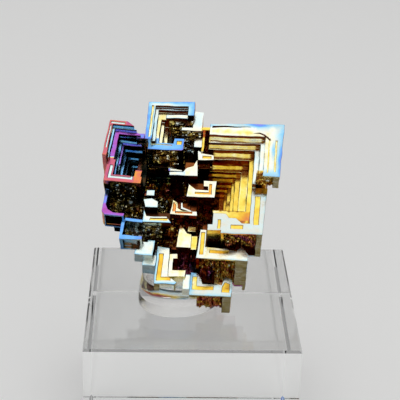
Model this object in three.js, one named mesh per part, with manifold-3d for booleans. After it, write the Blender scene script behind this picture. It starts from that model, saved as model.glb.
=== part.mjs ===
// A bismuth hopper crystal fixed with clear adhesive on a clear acrylic display block.
// Units are millimetres, +Z is up, and the origin is the middle of the block's underside.
// The crystal is drawn in axes of its own: u to the right, v up the face, w out of the face.
import * as THREE from 'three';
import { mergeVertices } from 'three/addons/utils/BufferGeometryUtils.js';
import Module from 'manifold-3d';

// ---- driving dimensions ----
const BLOCK = { side: 38.1, height: 25.4, bevel: 0.35 };
const LEAN = 35; // degrees that the crystal's face leans back from level
const TURN = -3; // degrees that the crystal is turned about the vertical
const SKEW = Math.tan(THREE.MathUtils.degToRad(3)); // bismuth's axes are not quite square
const CRYSTAL_AT = [0.8, -9.6, 49.8]; // where u = v = w = 0 lies
const WEST_AT = [-14, 8, -3]; // the left-hand crystal's own origin, in u, v, w
const WEST_SPIN = -3.5; // degrees that the left-hand crystal is turned in the face
const SKIN = 0.4; // thickness left above a hollow under a rim
const INSET = 0.18; // depth of the shallow channels along the rims
const FLOOR = -15.5; // level of the rough floor between the hoppers
const BACK = -17.5; // level of the crystal's back
const GLUE = { at: [-2.4, -0.9], radius: 7.8, height: 7.8, gap: 0.3 };
const LEAST = 0.3; // the narrowest recess worth cutting

const wasm = await Module();
wasm.setup();

// ---- solids ----
function toSolid(geometry) {
  geometry.deleteAttribute('normal');
  geometry.deleteAttribute('uv');
  const merged = mergeVertices(geometry, 1e-4);
  return new wasm.Manifold(new wasm.Mesh({
    numProp: 3,
    vertProperties: new Float32Array(merged.attributes.position.array),
    triVerts: new Uint32Array(merged.index.array),
  }));
}

function toGeometry(solid) {
  const mesh = solid.getMesh();
  const geometry = new THREE.BufferGeometry();
  geometry.setAttribute('position', new THREE.BufferAttribute(mesh.vertProperties, 3));
  geometry.setIndex(new THREE.BufferAttribute(mesh.triVerts, 1));
  geometry.computeVertexNormals();
  return geometry;
}

// A box from its limits along u, v and w.
function box([u0, u1], [v0, v1], [w0, w1]) {
  const geometry = new THREE.BoxGeometry(u1 - u0, v1 - v0, w1 - w0);
  geometry.translate((u0 + u1) / 2, (v0 + v1) / 2, (w0 + w1) / 2);
  return toSolid(geometry);
}

// An outline in u and v, from its foot up to its top.
function prism(outline, foot, top) {
  const shape = new THREE.Shape(outline.map(([u, v]) => new THREE.Vector2(u, v)));
  const geometry = new THREE.ExtrudeGeometry(shape, { depth: top - foot, bevelEnabled: false });
  geometry.translate(0, 0, foot);
  return toSolid(geometry);
}

// An outline in u and w, from v0 to v1.
function prismAlongV(outline, v0, v1) {
  const shape = new THREE.Shape(outline.map(([u, w]) => new THREE.Vector2(u, w)));
  const geometry = new THREE.ExtrudeGeometry(shape, { depth: v1 - v0, bevelEnabled: false });
  geometry.rotateX(Math.PI / 2);
  geometry.translate(0, v1, 0);
  return toSolid(geometry);
}

const joined = (solids) => solids.reduce((sum, solid) => sum.add(solid));
const cut = (solid, tools) => tools.reduce((rest, tool) => rest.subtract(tool), solid);

// A stepped pit: each step goes down to its floor inside its own limits.
function pit(steps) {
  return steps.map(({ u, v, floor }) => box(u, v, [floor, 1]));
}

// A shallow channel sunk into a rim at the level top.
function channel(u, v, top) {
  return box(u, v, [top - INSET, top + 0.5]);
}

// Nested shallow recesses on an outer face that looks along one axis (0 is u, 1 is v, 2 is w).
function recesses(limits, axis, side, count, margin, drop) {
  const tools = [];
  for (let i = 0; i < count; i += 1) {
    const ranges = limits.map(([low, high], k) => {
      if (k === axis) return [low, high];
      return [low + margin * (i + 1), high - margin * (i + 1)];
    });
    const face = side > 0 ? limits[axis][1] : limits[axis][0];
    const deep = face - side * drop * (i + 1);
    ranges[axis] = side > 0 ? [deep, face + 1] : [face - 1, deep];
    if (ranges.every(([low, high]) => high - low > LEAST)) tools.push(box(...ranges));
  }
  return tools;
}

// ---- the big hopper on the right ----
function bigHopper() {
  const upper = prism([[0.5, 15.7], [13.7, 16.1], [13.4, 5.2], [0.5, 5.2]], -4, 0);
  const upperBody = prism([[0.8, 15.1], [12.4, 15.4], [11.2, 6.4], [9.3, 6.4], [9.3, 5.2],
    [0.8, 5.2]], -12, -3.5);
  const lower = prism([[1.6, -3.6], [4, -3.5], [4, -4.1], [11.2, -4.1], [11.5, 5.3],
    [0.5, 5.3], [2.4, -0.2], [2.4, -2.4], [1.6, -2.4]], -12.5, -4);
  const root = box([0.5, 10.8], [-1.4, 14.6], [BACK, -11]);
  const steps = [
    { u: [-1, 10.5], v: [4, 13.4], floor: -1.35 },
    { u: [-1, 9.7], v: [4, 12.6], floor: -2.7 },
    { u: [-1, 8.8], v: [0.6, 12], floor: -4.4 },
    { u: [-1, 8], v: [0.6, 11], floor: -7.2 },
    { u: [-1, 6.6], v: [0.8, 10.1], floor: -8.5 },
    { u: [-1, 5.7], v: [1, 9.8], floor: -9.6 },
    { u: [-1, 5.1], v: [1.2, 9.4], floor: -11.2 },
    { u: [-1, 4.4], v: [1.4, 9.2], floor: -12.6 },
    { u: [-1, 3.9], v: [1.6, 9], floor: -14 },
    { u: [-1, 3], v: [1.8, 8.7], floor: FLOOR },
  ];
  const lowerMouth = prism([[2.4, -0.2], [4.6, -0.2], [5.2, -1], [6.4, -1], [7.5, -2],
    [8.8, -2], [8.8, 4], [0, 4], [0, -0.2]], -4.4, 1);
  const channels = [
    prism([[0.9, 14.85], [7.6, 15.15], [7.6, 15.25], [0.9, 15.3]], -1.4, 1),
    prism([[8.2, 14], [9.3, 14.15], [10.2, 13.85], [10.85, 13.35], [11.45, 12.65], [11.2, 12.6],
      [10.6, 13.2], [10.05, 13.65], [9.3, 13.95]], -0.5, 1),
    channel([9.5, 10.4], [-2.2, 3.4], -4),
    channel([11.1, 11.3], [6, 13], 0),
    channel([12.3, 12.6], [6.2, 12.6], 0),
    channel([5.6, 7.7], [-3.1, -2.35], -4),
    channel([3.3, 3.8], [-3.2, -1.4], -4),
  ];
  const hollows = [
    box([4.6, 10.2], [-5, -1.6], [-12, -4 - SKIN]),
    box([9.4, 12.3], [4, 6.4], [-4.2, -SKIN]),
  ];
  const outside = [
    ...recesses([[0.8, 12.2], [5, 15.2], [-11.6, -4]], 1, 1, 3, 1.1, 0.5),
    ...recesses([[0.5, 11.4], [6.4, 15.2], [-11.6, -4]], 0, 1, 2, 1, 0.4),
    ...recesses([[0.5, 13.4], [5, 15.8], [-4, 0]], 1, 1, 1, 0.8, 0.3),
    ...recesses([[0.5, 13.4], [5.2, 15.9], [-4, 0]], 0, 1, 1, 0.8, 0.3),
    ...recesses([[0.5, 11.3], [-4.1, 5.2], [-12.5, -4]], 0, 1, 2, 1, 0.5),
  ];
  const lowerPart = cut(lower, [lowerMouth]);
  const all = joined([upper, upperBody, lowerPart, root]);
  return cut(all, [...pit(steps), ...channels, ...hollows, ...outside]);
}

// ---- the hopper at the top ----
function topHopper() {
  const block = prism([[-10.9, 19.9], [-2.6, 20.3], [-2.5, 12.1], [-10.8, 12.1]], -13, 0);
  const bar = box([-10.2, -4.1], [10.9, 12.2], [-8, -1.5]);
  const barEnd = box([-5.7, -3.9], [11, 13.3], [-8, -1.5]);
  const side = box([-2.7, -1], [15.2, 19.1], [-9, -1.5]);
  const sideFoot = box([-4.6, -0.9], [15.1, 15.7], [-9, -1.5]);
  const stud = box([-2.2, -0.6], [12.6, 14.4], [-12, -3]);
  const root = box([-10.4, -1.2], [11, 18], [BACK, -10]);
  const steps = [
    { u: [-9.6, -3.7], v: [11, 19.2], floor: -0.7 },
    { u: [-9, -3.7], v: [11, 18.7], floor: -1.6 },
    { u: [-8.4, -2.4], v: [11, 17.3], floor: -2.6 },
    { u: [-7.8, -2.4], v: [11, 17.3], floor: -4.2 },
    { u: [-7.1, -2.9], v: [11, 17.3], floor: -5.8 },
    { u: [-6.4, -2.9], v: [11, 17.3], floor: -7.6 },
    { u: [-5.8, -2.9], v: [11, 17], floor: -9.4 },
    { u: [-5.2, -3.4], v: [11, 16.6], floor: -11.4 },
  ];
  const lip = box([-7.6, -2.5], [17.3, 18], [-3, -1]);
  const channels = [
    channel([-10.25, -9.9], [12.6, 19.2], 0),
    channel([-5.2, -4.3], [12, 12.8], -1.5),
    channel([-9.8, -6], [11.8, 12], -1.5),
  ];
  const opened = cut(block, [...pit(steps), box([-3.6, -2], [11, 16.75], [-9, 1])]);
  const hollows = [
    box([-9.4, -4.8], [10, 12.6], [-7.6, -1.5 - SKIN]),
  ];
  const outside = [
    ...recesses([[-10.9, -2.5], [12.1, 20.1], [-13, 0]], 1, 1, 3, 0.9, 0.6),
    ...recesses([[-10.85, -2.5], [12.1, 20], [-13, 0]], 0, -1, 3, 0.9, 0.5),
  ];
  const all = joined([opened, lip, bar, barEnd, side, sideFoot, stud, root]);
  return cut(all, [...channels, ...hollows, ...outside]);
}

// ---- the stepped plates at the bottom ----
function lowerPlates() {
  const third = prism([[0.3, -0.9], [0, -7], [9, -7.3], [9.1, -6], [7.7, -4.5], [7.4, -1.4],
    [0.4, -1.4]], -20, -8);
  const thirdPit = [
    prism([[1.4, -1], [1.4, -4.8], [5, -5], [5.7, -5.3], [7.1, -5.6], [7.6, -4.6], [7.4, -1]],
      -10.5, 1),
    box([1.9, 6.6], [-4.4, -1], [-13, -8]),
    channel([2.3, 5.6], [-5.95, -5.3], -8),
    channel([0.5, 1.15], [-6.3, -1.9], -8),
    box([0.6, 6.9], [-8, -5.4], [-21, -8 - SKIN]),
    box([6.9, 8.5], [-8, -6.6], [-21, -18]),
    prismAlongV([[-1, -13], [1, -17], [4, -21], [-1, -21]], -8, -4.4),
  ];
  const fourth = prism([[-0.9, -7.4], [0.4, -7.5], [1, -8.3], [1.4, -9.6], [4.8, -9.7],
    [5.4, -7.9], [6.5, -8.6], [6.7, -9.6], [6.6, -11.9], [-0.8, -11.8]], -20.2, -13);
  const fourthPit = [
    channel([-0.4, 0.4], [-10.4, -8.2], -13),
    channel([-0.4, 3.4], [-10.75, -10.05], -13),
    prism([[4.9, -11.1], [6.2, -11.1], [6.2, -9.4], [5.4, -9.1], [4.9, -10.1]], -13 - INSET, -12),
    box([0.6, 5.1], [-13, -10.4], [-20.6, -13 - SKIN]),
    prismAlongV([[-2, -14], [1, -15], [3.6, -21], [-2, -21]], -13, -6),
  ];
  const pale = box([-2.1, -0.8], [-10.7, -7.8], [-15.5, -13.2]);
  const foot = box([-7.2, 3.4], [-8.6, -1], [BACK, -14.6]);
  const heel = box([0.4, 7.4], [-5.4, -1], [-22, -12]);
  const frame = prism([[-7.2, -2.9], [-5, -3.3], [-4.8, -8.8], [-3.1, -9.9], [-3.4, -10.3],
    [-7.1, -10.3]], -15, -12);
  const hook = prism([[-5.1, -4.2], [-3.5, -4.1], [-3.4, -5.1], [-4.2, -5.1], [-4.1, -7.4],
    [-1.8, -7.4], [-1.8, -8.6], [-5, -8.7]], -15, -12.4);
  const frameCuts = [
    channel([-6.75, -6], [-9.6, -4.4], -12),
    channel([-6.75, -4.3], [-9.65, -8.95], -12),
    box([-6.2, -3.6], [-11, -9.6], [-15.4, -12 - SKIN]),
  ];
  return joined([
    cut(third, thirdPit),
    cut(fourth, fourthPit),
    cut(joined([frame, hook]), frameCuts),
    pale,
    foot,
    heel,
  ]);
}

// ---- the small plates in the middle ----
// Each one stands on a post that is narrower than the plate and set back from its lower edge.
function plateOnPost({ top, thick = 1.3, outline }) {
  const us = outline.map(([u]) => u);
  const vs = outline.map(([, v]) => v);
  const [left, right] = [Math.min(...us), Math.max(...us)];
  const [low, high] = [Math.min(...vs), Math.max(...vs)];
  const post = box([left + 0.35, right - 0.35], [low + 0.6 * (high - low), high + 0.5],
    [FLOOR - 1, top - 2 * thick]);
  const neck = box([left + 0.2, right - 0.2], [low + 0.3 * (high - low), high],
    [top - 2.4 * thick, top - thick + 0.2]);
  return joined([prism(outline, top - thick, top), neck, post]);
}

function centrePlates() {
  const plates = [
    { top: -3, outline: [[-1.4, 11.9], [-0.1, 11.2], [1.5, 11], [1.6, 10], [-1.2, 9.9]] },
    { top: -4, outline: [[-1.3, 10.6], [-1, 7.2], [-3.6, 7.2], [-3.6, 7.9], [-3, 8.8], [-2, 9.2]] },
    { top: -4, thick: 0.7, outline: [[-3.4, 7.2], [-6, 7.2], [-6.1, 7.8], [-3.4, 7.9]] },
    { top: -4.4, thick: 0.7, outline: [[-6.4, 8.9], [-3.9, 8.5], [-3.8, 8.2], [-6.3, 8.3]] },
    { top: -5, outline: [[-2.4, 6.1], [-1.1, 5], [1.1, 4.9], [1, 5.7], [0.2, 5.7],
      [0.1, 6.8], [2.5, 6.8], [2.3, 3.5], [-2.7, 3.5]] },
    { top: -6.5, outline: [[-5, 3.5], [-5.3, 0.7], [-0.5, 0.5], [-0.6, 1.3],
      [-3.2, 1.4], [-4, 1.9], [-4.2, 2.9]] },
    { top: -7, thick: 0.6, outline: [[-3.6, 3.3], [-3.3, 3.3], [-3.2, 2.4], [-1.6, 1.8],
      [-1.6, 1.5], [-3.6, 2.1]] },
    { top: -9, thick: 2, outline: [[-3.5, 0.1], [-3.7, -4.5], [-1.1, -4.5], [-1.2, -2],
      [-2, -1.7], [-3.1, -0.3]] },
    { top: -9.3, outline: [[-2, -0.2], [-2, -1.2], [-0.6, -1.2], [-0.6, -0.2]] },
    { top: -9.6, thick: 2, outline: [[-1.2, -2], [-1.1, -4.6], [-0.1, -4.6], [-0.2, -2]] },
    { top: -7, outline: [[-10, 1.7], [-9.4, 0.4], [-5.9, 0.4], [-4.9, -0.8], [-10, -0.8]] },
    { top: -6, outline: [[-9.8, 5.1], [-9.8, 4], [-8.4, 4], [-8.4, 5.1]] },
    { top: -6.4, outline: [[-10.2, 3.4], [-9.8, 1.9], [-7.6, 1.9], [-7.7, 3], [-8.8, 3.7]] },
  ];
  const channels = [
    channel([-0.4, 1.1], [10.3, 10.8], -3),
    channel([-1.2, 1.2], [4.1, 4.5], -5),
    channel([1.2, 1.7], [4.1, 6.2], -5),
    channel([-4.9, -4.4], [1.2, 3], -6.5),
    channel([-4.4, -1.4], [0.9, 1.3], -6.5),
    channel([-2.9, -1.2], [-0.5, -0.3], -9),
    channel([-8.8, -5.6], [-0.4, 0.1], -7),
  ];
  return cut(joined(plates.map(plateOnPost)), channels);
}

// ---- the rough floor between the hoppers ----
function roughFloor() {
  const ground = { u: [-11, 3], v: [-3.2, 14] };
  const columns = 9;
  const rows = 10;
  const pitch = [1.6, 1.75];
  const pieces = [box(ground.u, ground.v, [BACK, FLOOR])];
  for (let i = 0; i < columns; i += 1) {
    for (let j = 0; j < rows; j += 1) {
      const u = ground.u[0] + pitch[0] * i;
      const v = ground.v[0] + pitch[1] * j;
      const wave = Math.sin(12.9 * i + 78.2 * j) / 2 + Math.sin(3.7 * i * j + 1.3) / 2;
      const height = 1.6 + 1.3 * wave;
      const size = 1.1 + 0.35 * Math.sin(5.1 * i + 2.3 * j);
      pieces.push(box([u, u + size], [v, v + size], [FLOOR - 1, FLOOR + height]));
    }
  }
  return joined(pieces);
}

// ---- the dark walls between the hoppers, and the small crystals that stand on them ----
function walls() {
  return joined([
    box([-1.2, 0.9], [10, 17.5], [-14, -6]),
    box([-0.75, -0.3], [11.4, 16.1], [-7, -2.4]),
    box([-0.9, 0.6], [15.1, 15.7], [-7, -1.2]),
    box([-12.6, -10.8], [9, 19.3], [-14, -11.5]),
    box([-12.8, -11.4], [15.3, 16.3], [-13, -5]),
  ]);
}

// ---- the left-hand crystal, in its own turned axes ----
function westCrystal() {
  const top = prism([[-4.4, 9.5], [-1.2, 9.5], [1.3, 7.9], [2.1, 6.5], [6, 6.5], [6, 2.1],
    [-4.5, 2.1]], -11, 0);
  const second = prism([[-3.5, 4], [-3.5, -2.3], [3.2, -2.3], [3.2, 4]], -10.5, -1.5);
  const third = prism([[-3.2, -2], [-3.1, -6.9], [-2.5, -7.5], [1, -7.5], [1, -2]], -9, -4.5);
  const fourth = prism([[0.4, -7], [0.8, -11.3], [4.8, -11], [4.8, -7]], -10, -6);
  const fifth = box([3.7, 7], [-13, -10], [-11, -8]);
  const sixth = box([5.2, 7.6], [-14.2, -12], [-13, -9.6]);
  const root = joined([
    box([-1.6, 8], [-5.5, 7], [-14.4, -9.5]),
    box([2, 8], [-9.4, -5], [-13.6, -9]),
  ]);
  const steps = [
    { u: [-3.7, 9], v: [-0.9, 8.6], floor: -0.8 },
    { u: [-3.3, 9], v: [-0.9, 8.3], floor: -1.5 },
    { u: [-2.05, 9], v: [-0.9, 3], floor: -2.6 },
    { u: [-2.45, 9], v: [2.2, 7.6], floor: -4 },
    { u: [-1.95, 9], v: [2.2, 7.4], floor: -4.5 },
    { u: [-1.75, 9], v: [-0.9, 3], floor: -4.8 },
    { u: [-1.55, 9], v: [-0.9, 7.2], floor: -6.5 },
    { u: [-1.05, 9], v: [-0.9, 7], floor: -8.8 },
    { u: [-0.65, 9], v: [-0.9, 6.8], floor: -9.8 },
    { u: [-0.25, 9], v: [-0.9, 6.6], floor: -11 },
    { u: [0.2, 9], v: [-0.6, 6.4], floor: -11.8 },
    { u: [2.6, 9], v: [0, 6.1], floor: -12.4 },
    { u: [3.4, 9], v: [0.2, 5.6], floor: -13.6 },
  ];
  const cuts = [
    channel([-4.15, -3.9], [3.7, 8.4], 0),
    channel([-4.1, -1.6], [8.82, 9.2], 0),
    channel([-2.85, -2.35], [-1.2, 1], -1.5),
    channel([-2.85, 1.6], [-1.65, -1.15], -1.5),
    channel([1.2, 1.6], [-1.65, -0.9], -1.5),
    prism([[-2.6, -2.6], [-2.6, -5.4], [-2.1, -6.4], [-1.1, -6.9], [2, -6.9], [2, -2.6]],
      -8.6, 1),
    box([1.2, 5.6], [-10.4, -7.6], [-9, 1]),
    box([-2.4, 0.6], [-9, -7.1], [-8.6, -4.5 - SKIN]),
    box([1.4, 4.4], [-12, -10.6], [-9.6, -6 - SKIN]),
    box([-2.6, 2.4], [-3, -1.6], [-9, -1.5 - SKIN]),
    box([-3.8, -3.5], [1, 3], [-9, -SKIN]),
  ];
  const outside = [
    ...recesses([[-4.4, -1], [2.1, 9.5], [-11, 0]], 0, -1, 2, 0.9, 0.4),
    ...recesses([[-4.4, 1.2], [2.1, 9.5], [-11, 0]], 1, 1, 2, 0.9, 0.5),
  ];
  const lug = box([1.8, 3], [-1.2, 0.4], [-9, -1.5]);
  const body = joined([top, second, root]);
  const hollowed = cut(joined([cut(body, pit(steps)), lug, third, fourth, fifth, sixth]),
    [...cuts, ...outside]);
  return hollowed.rotate([0, 0, WEST_SPIN]).translate(WEST_AT);
}

// ---- the stepped blocks of the back, and the root that the glue holds ----
function backSide() {
  const blocks = [
    box([-6.4, -1.6], [-4.4, 2.4], [-20.6, BACK + 0.5]),
    box([-10, 4], [2, 11], [-19, BACK + 0.5]),
    box([2.6, 9.4], [2, 12.6], [-19.4, BACK + 0.5]),
    box([-9, -3], [9.6, 15.4], [-19.8, BACK + 0.5]),
  ];
  const outside = [
    ...recesses([[-10, 4], [2, 11], [-19, -16]], 2, -1, 2, 0.9, 0.4),
    ...recesses([[2.6, 9.4], [2, 12.6], [-19.4, -16]], 2, -1, 3, 0.9, 0.5),
    ...recesses([[-9, -3], [9.6, 15.4], [-19.8, -16]], 2, -1, 3, 0.8, 0.5),
  ];
  return cut(joined(blocks), outside);
}

// ---- placing ----
const skew = [1, 0, 0, 0, SKEW, 1, 0, 0, 0, 0, 1, 0, 0, 0, 0, 1];

const crystalInAxes = joined([
  bigHopper(),
  topHopper(),
  lowerPlates(),
  centrePlates(),
  roughFloor(),
  walls(),
  westCrystal(),
  backSide(),
]).transform(skew);

const lean = new THREE.Euler(THREE.MathUtils.degToRad(LEAN), 0, THREE.MathUtils.degToRad(TURN), 'ZYX');

function placed(solid) {
  const matrix = new THREE.Matrix4().makeRotationFromEuler(lean);
  matrix.setPosition(...CRYSTAL_AT);
  return solid.transform(matrix.elements);
}

// ---- the acrylic block: a bevelled square slab ----
function acrylicBlock() {
  const half = BLOCK.side / 2 - BLOCK.bevel;
  const shape = new THREE.Shape();
  shape.moveTo(-half, -half);
  shape.lineTo(half, -half);
  shape.lineTo(half, half);
  shape.lineTo(-half, half);
  shape.closePath();
  const geometry = new THREE.ExtrudeGeometry(shape, {
    depth: BLOCK.height - 2 * BLOCK.bevel,
    bevelEnabled: true,
    bevelThickness: BLOCK.bevel,
    bevelSize: BLOCK.bevel,
    bevelSegments: 1,
  });
  geometry.translate(0, 0, BLOCK.bevel);
  return toSolid(geometry);
}

// ---- the mound of clear adhesive, hollowed where the crystal sits in it ----
function glueMound() {
  const profile = [
    [0, 0], [GLUE.radius, 0], [GLUE.radius, 1], [GLUE.radius - 0.2, 3], [GLUE.radius - 0.6, 4.8],
    [GLUE.radius - 1.6, 6.4], [GLUE.radius - 3.4, GLUE.height - 0.4], [0, GLUE.height],
  ].map(([radius, height]) => new THREE.Vector2(radius, height));
  const geometry = new THREE.LatheGeometry(profile, 32);
  geometry.rotateX(Math.PI / 2);
  geometry.translate(...GLUE.at, BLOCK.height);
  const mound = toSolid(geometry);
  const g = GLUE.gap;
  const pockets = [
    box([-6.4 - g, -1.6 + g], [-4.4 - g, 2.4 + g], [-20.6 - g, -10]),
    box([-14, 6], [-8.6 - g, 16], [BACK - g, 0]),
    box([-14, 9], [-14, -7], [-15.2 - g, 0]),
    box([-1, 9], [-14, -6], [-20.2 - g, 0]),
    box([0, 9], [-8, 16], [-22 - g, 0]),
    box([-10 - g, 4], [2 - g, 16], [-19.8 - g, 0]),
  ].map((solid) => placed(solid.transform(skew)));
  return cut(mound, pockets);
}

// ---- scene graph ----
function material(color, roughness, metalness, opacity = 1) {
  return new THREE.MeshStandardMaterial({ color, roughness, metalness, opacity,
    transparent: opacity < 1, flatShading: true });
}

const crystal = new THREE.Mesh(toGeometry(crystalInAxes), material(0xc9a24a, 0.2, 1));
crystal.name = 'bismuth_crystal';
crystal.rotation.copy(lean);
crystal.position.set(...CRYSTAL_AT);

const glue = new THREE.Mesh(toGeometry(glueMound()), material(0xe8e6e0, 0.1, 0, 0.5));
glue.name = 'adhesive_mound';

const block = new THREE.Mesh(toGeometry(acrylicBlock()), material(0xe6e8ea, 0.05, 0, 0.4));
block.name = 'acrylic_block';

const group = new THREE.Group();
group.add(block, glue, crystal);
export default group;
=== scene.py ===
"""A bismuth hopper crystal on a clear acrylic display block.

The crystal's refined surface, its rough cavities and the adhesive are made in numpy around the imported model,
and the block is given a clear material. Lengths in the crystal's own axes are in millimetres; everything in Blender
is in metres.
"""

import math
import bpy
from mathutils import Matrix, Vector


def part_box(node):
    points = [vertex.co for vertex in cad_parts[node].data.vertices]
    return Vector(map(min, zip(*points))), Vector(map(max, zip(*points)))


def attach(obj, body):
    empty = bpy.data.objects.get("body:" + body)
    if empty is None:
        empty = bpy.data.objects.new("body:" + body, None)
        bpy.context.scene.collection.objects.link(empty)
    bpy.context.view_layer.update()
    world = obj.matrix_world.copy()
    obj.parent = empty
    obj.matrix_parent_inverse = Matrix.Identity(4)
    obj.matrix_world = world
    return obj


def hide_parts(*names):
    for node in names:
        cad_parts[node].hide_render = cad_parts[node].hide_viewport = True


bl_info = {
    "name": "Bismuth hopper crystal",
    "version": (1, 0, 0),
    "blender": (4, 5, 0),
    "location": "3D View > Sidebar > Crystal",
    "description": "Builds a hopper crystal with an oxide film, its adhesive, its block and a plain studio",
    "category": "Add Mesh",
}

import bmesh
import bpy
import numpy as np
from bpy.props import FloatProperty, FloatVectorProperty, PointerProperty
from mathutils import Matrix, Vector

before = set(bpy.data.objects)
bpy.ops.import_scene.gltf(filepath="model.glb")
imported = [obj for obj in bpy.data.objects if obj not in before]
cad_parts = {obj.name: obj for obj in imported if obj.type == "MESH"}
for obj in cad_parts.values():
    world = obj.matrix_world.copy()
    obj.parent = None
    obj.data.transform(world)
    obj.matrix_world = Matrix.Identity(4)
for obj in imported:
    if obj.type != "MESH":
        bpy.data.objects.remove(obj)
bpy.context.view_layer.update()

MM = 0.001
LEAN = math.radians(35)  # the crystal's face leans back from level
TURN = math.radians(-3)  # its turn about the vertical
SKEW = math.tan(math.radians(3))  # bismuth's axes are not quite square
CRYSTAL_AT = np.array([0.8, -9.6, 49.8])  # where u = v = w = 0 lies, in millimetres
WEST_AT = np.array([-14.0, 8.0, -3.0])  # the left-hand crystal's origin, in u, v, w
WEST_SPIN = math.radians(-3.5)  # its turn about w
WEST_END = -6.0  # the left-hand crystal lies at a smaller u than this
LOOKS_ALONG = 0.7  # a face looks along an axis when its normal has at least this much of it


# ---------------------------------------------------------------- crystal axes


def crystal_axes():
    """Columns u, v, w of the crystal's axes in the row frame: lean about X, skew u into v, turn about Z."""
    cl, sl, ct, st = math.cos(LEAN), math.sin(LEAN), math.cos(TURN), math.sin(TURN)
    leaned = np.array([[1, 0, 0], [0, cl, -sl], [0, sl, cl]])
    turned = np.array([[ct, -st, 0], [st, ct, 0], [0, 0, 1]])
    skewed = np.array([[1, SKEW, 0], [0, 1, 0], [0, 0, 1]])
    return turned @ leaned @ skewed


AXES = crystal_axes()
AXES_BACK = np.linalg.inv(AXES)


def to_crystal(points):
    """Row-frame metres to crystal-axis millimetres."""
    return (points / MM - CRYSTAL_AT) @ AXES_BACK.T


def from_crystal(points):
    """Crystal-axis millimetres to row-frame metres."""
    return (points @ AXES.T + CRYSTAL_AT) * MM


def turn_about_w(q, angle):
    """Turns points about the w axis: the usual cosine and sine mix of u and v."""
    c, s = math.cos(angle), math.sin(angle)
    return np.stack([c * q[:, 0] - s * q[:, 1], s * q[:, 0] + c * q[:, 1], q[:, 2]], 1)


def to_west(q):
    """Crystal-axis millimetres to the left-hand crystal's own turned axes."""
    return turn_about_w(q - WEST_AT, -WEST_SPIN)


def from_west(q):
    """The left-hand crystal's own turned axes to crystal-axis millimetres."""
    return turn_about_w(q, WEST_SPIN) + WEST_AT


# ---------------------------------------------------------------- helpers


def smooth(x, low, high):
    """A smooth step from 0 at low to 1 at high."""
    t = np.clip((x - low) / (high - low), 0, 1)
    return t * t * (3 - 2 * t)


WAVES = 8


def ripple(q, scale, seed):
    """A smooth field between about -1 and 1: a scaled sum of sine waves in seeded directions."""
    rng = np.random.default_rng(seed)
    total = np.zeros(len(q))
    for _ in range(WAVES):
        direction = rng.normal(size=q.shape[1])
        direction *= rng.uniform(0.6, 1.6) / (scale * np.linalg.norm(direction))
        total += np.sin(q @ direction * 2 * math.pi + rng.uniform(0, 2 * math.pi))
    return total / (0.4 * WAVES)


def set_corner_floats(mesh, name, values):
    """Stores one number for each corner of a mesh, for its material to read."""
    layer = mesh.attributes.new(name, "FLOAT", "CORNER")
    layer.data.foreach_set("value", np.ascontiguousarray(values, dtype=np.float32))


def mesh_from_arrays(name, vertices, *face_sets):
    """A mesh from an array of points and one or more arrays of faces, in that order."""
    mesh = bpy.data.meshes.new(name)
    mesh.from_pydata(vertices.tolist(), [], [face for faces in face_sets for face in faces.tolist()])
    mesh.update()
    return mesh


def add_piece(name, mesh, material, smooth_faces=True):
    """An object at the origin that shows a mesh in one material."""
    obj = bpy.data.objects.new(name, mesh)
    bpy.context.scene.collection.objects.link(obj)
    mesh.materials.append(material)
    mesh.polygons.foreach_set("use_smooth", np.full(len(mesh.polygons), smooth_faces))
    return obj
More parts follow.
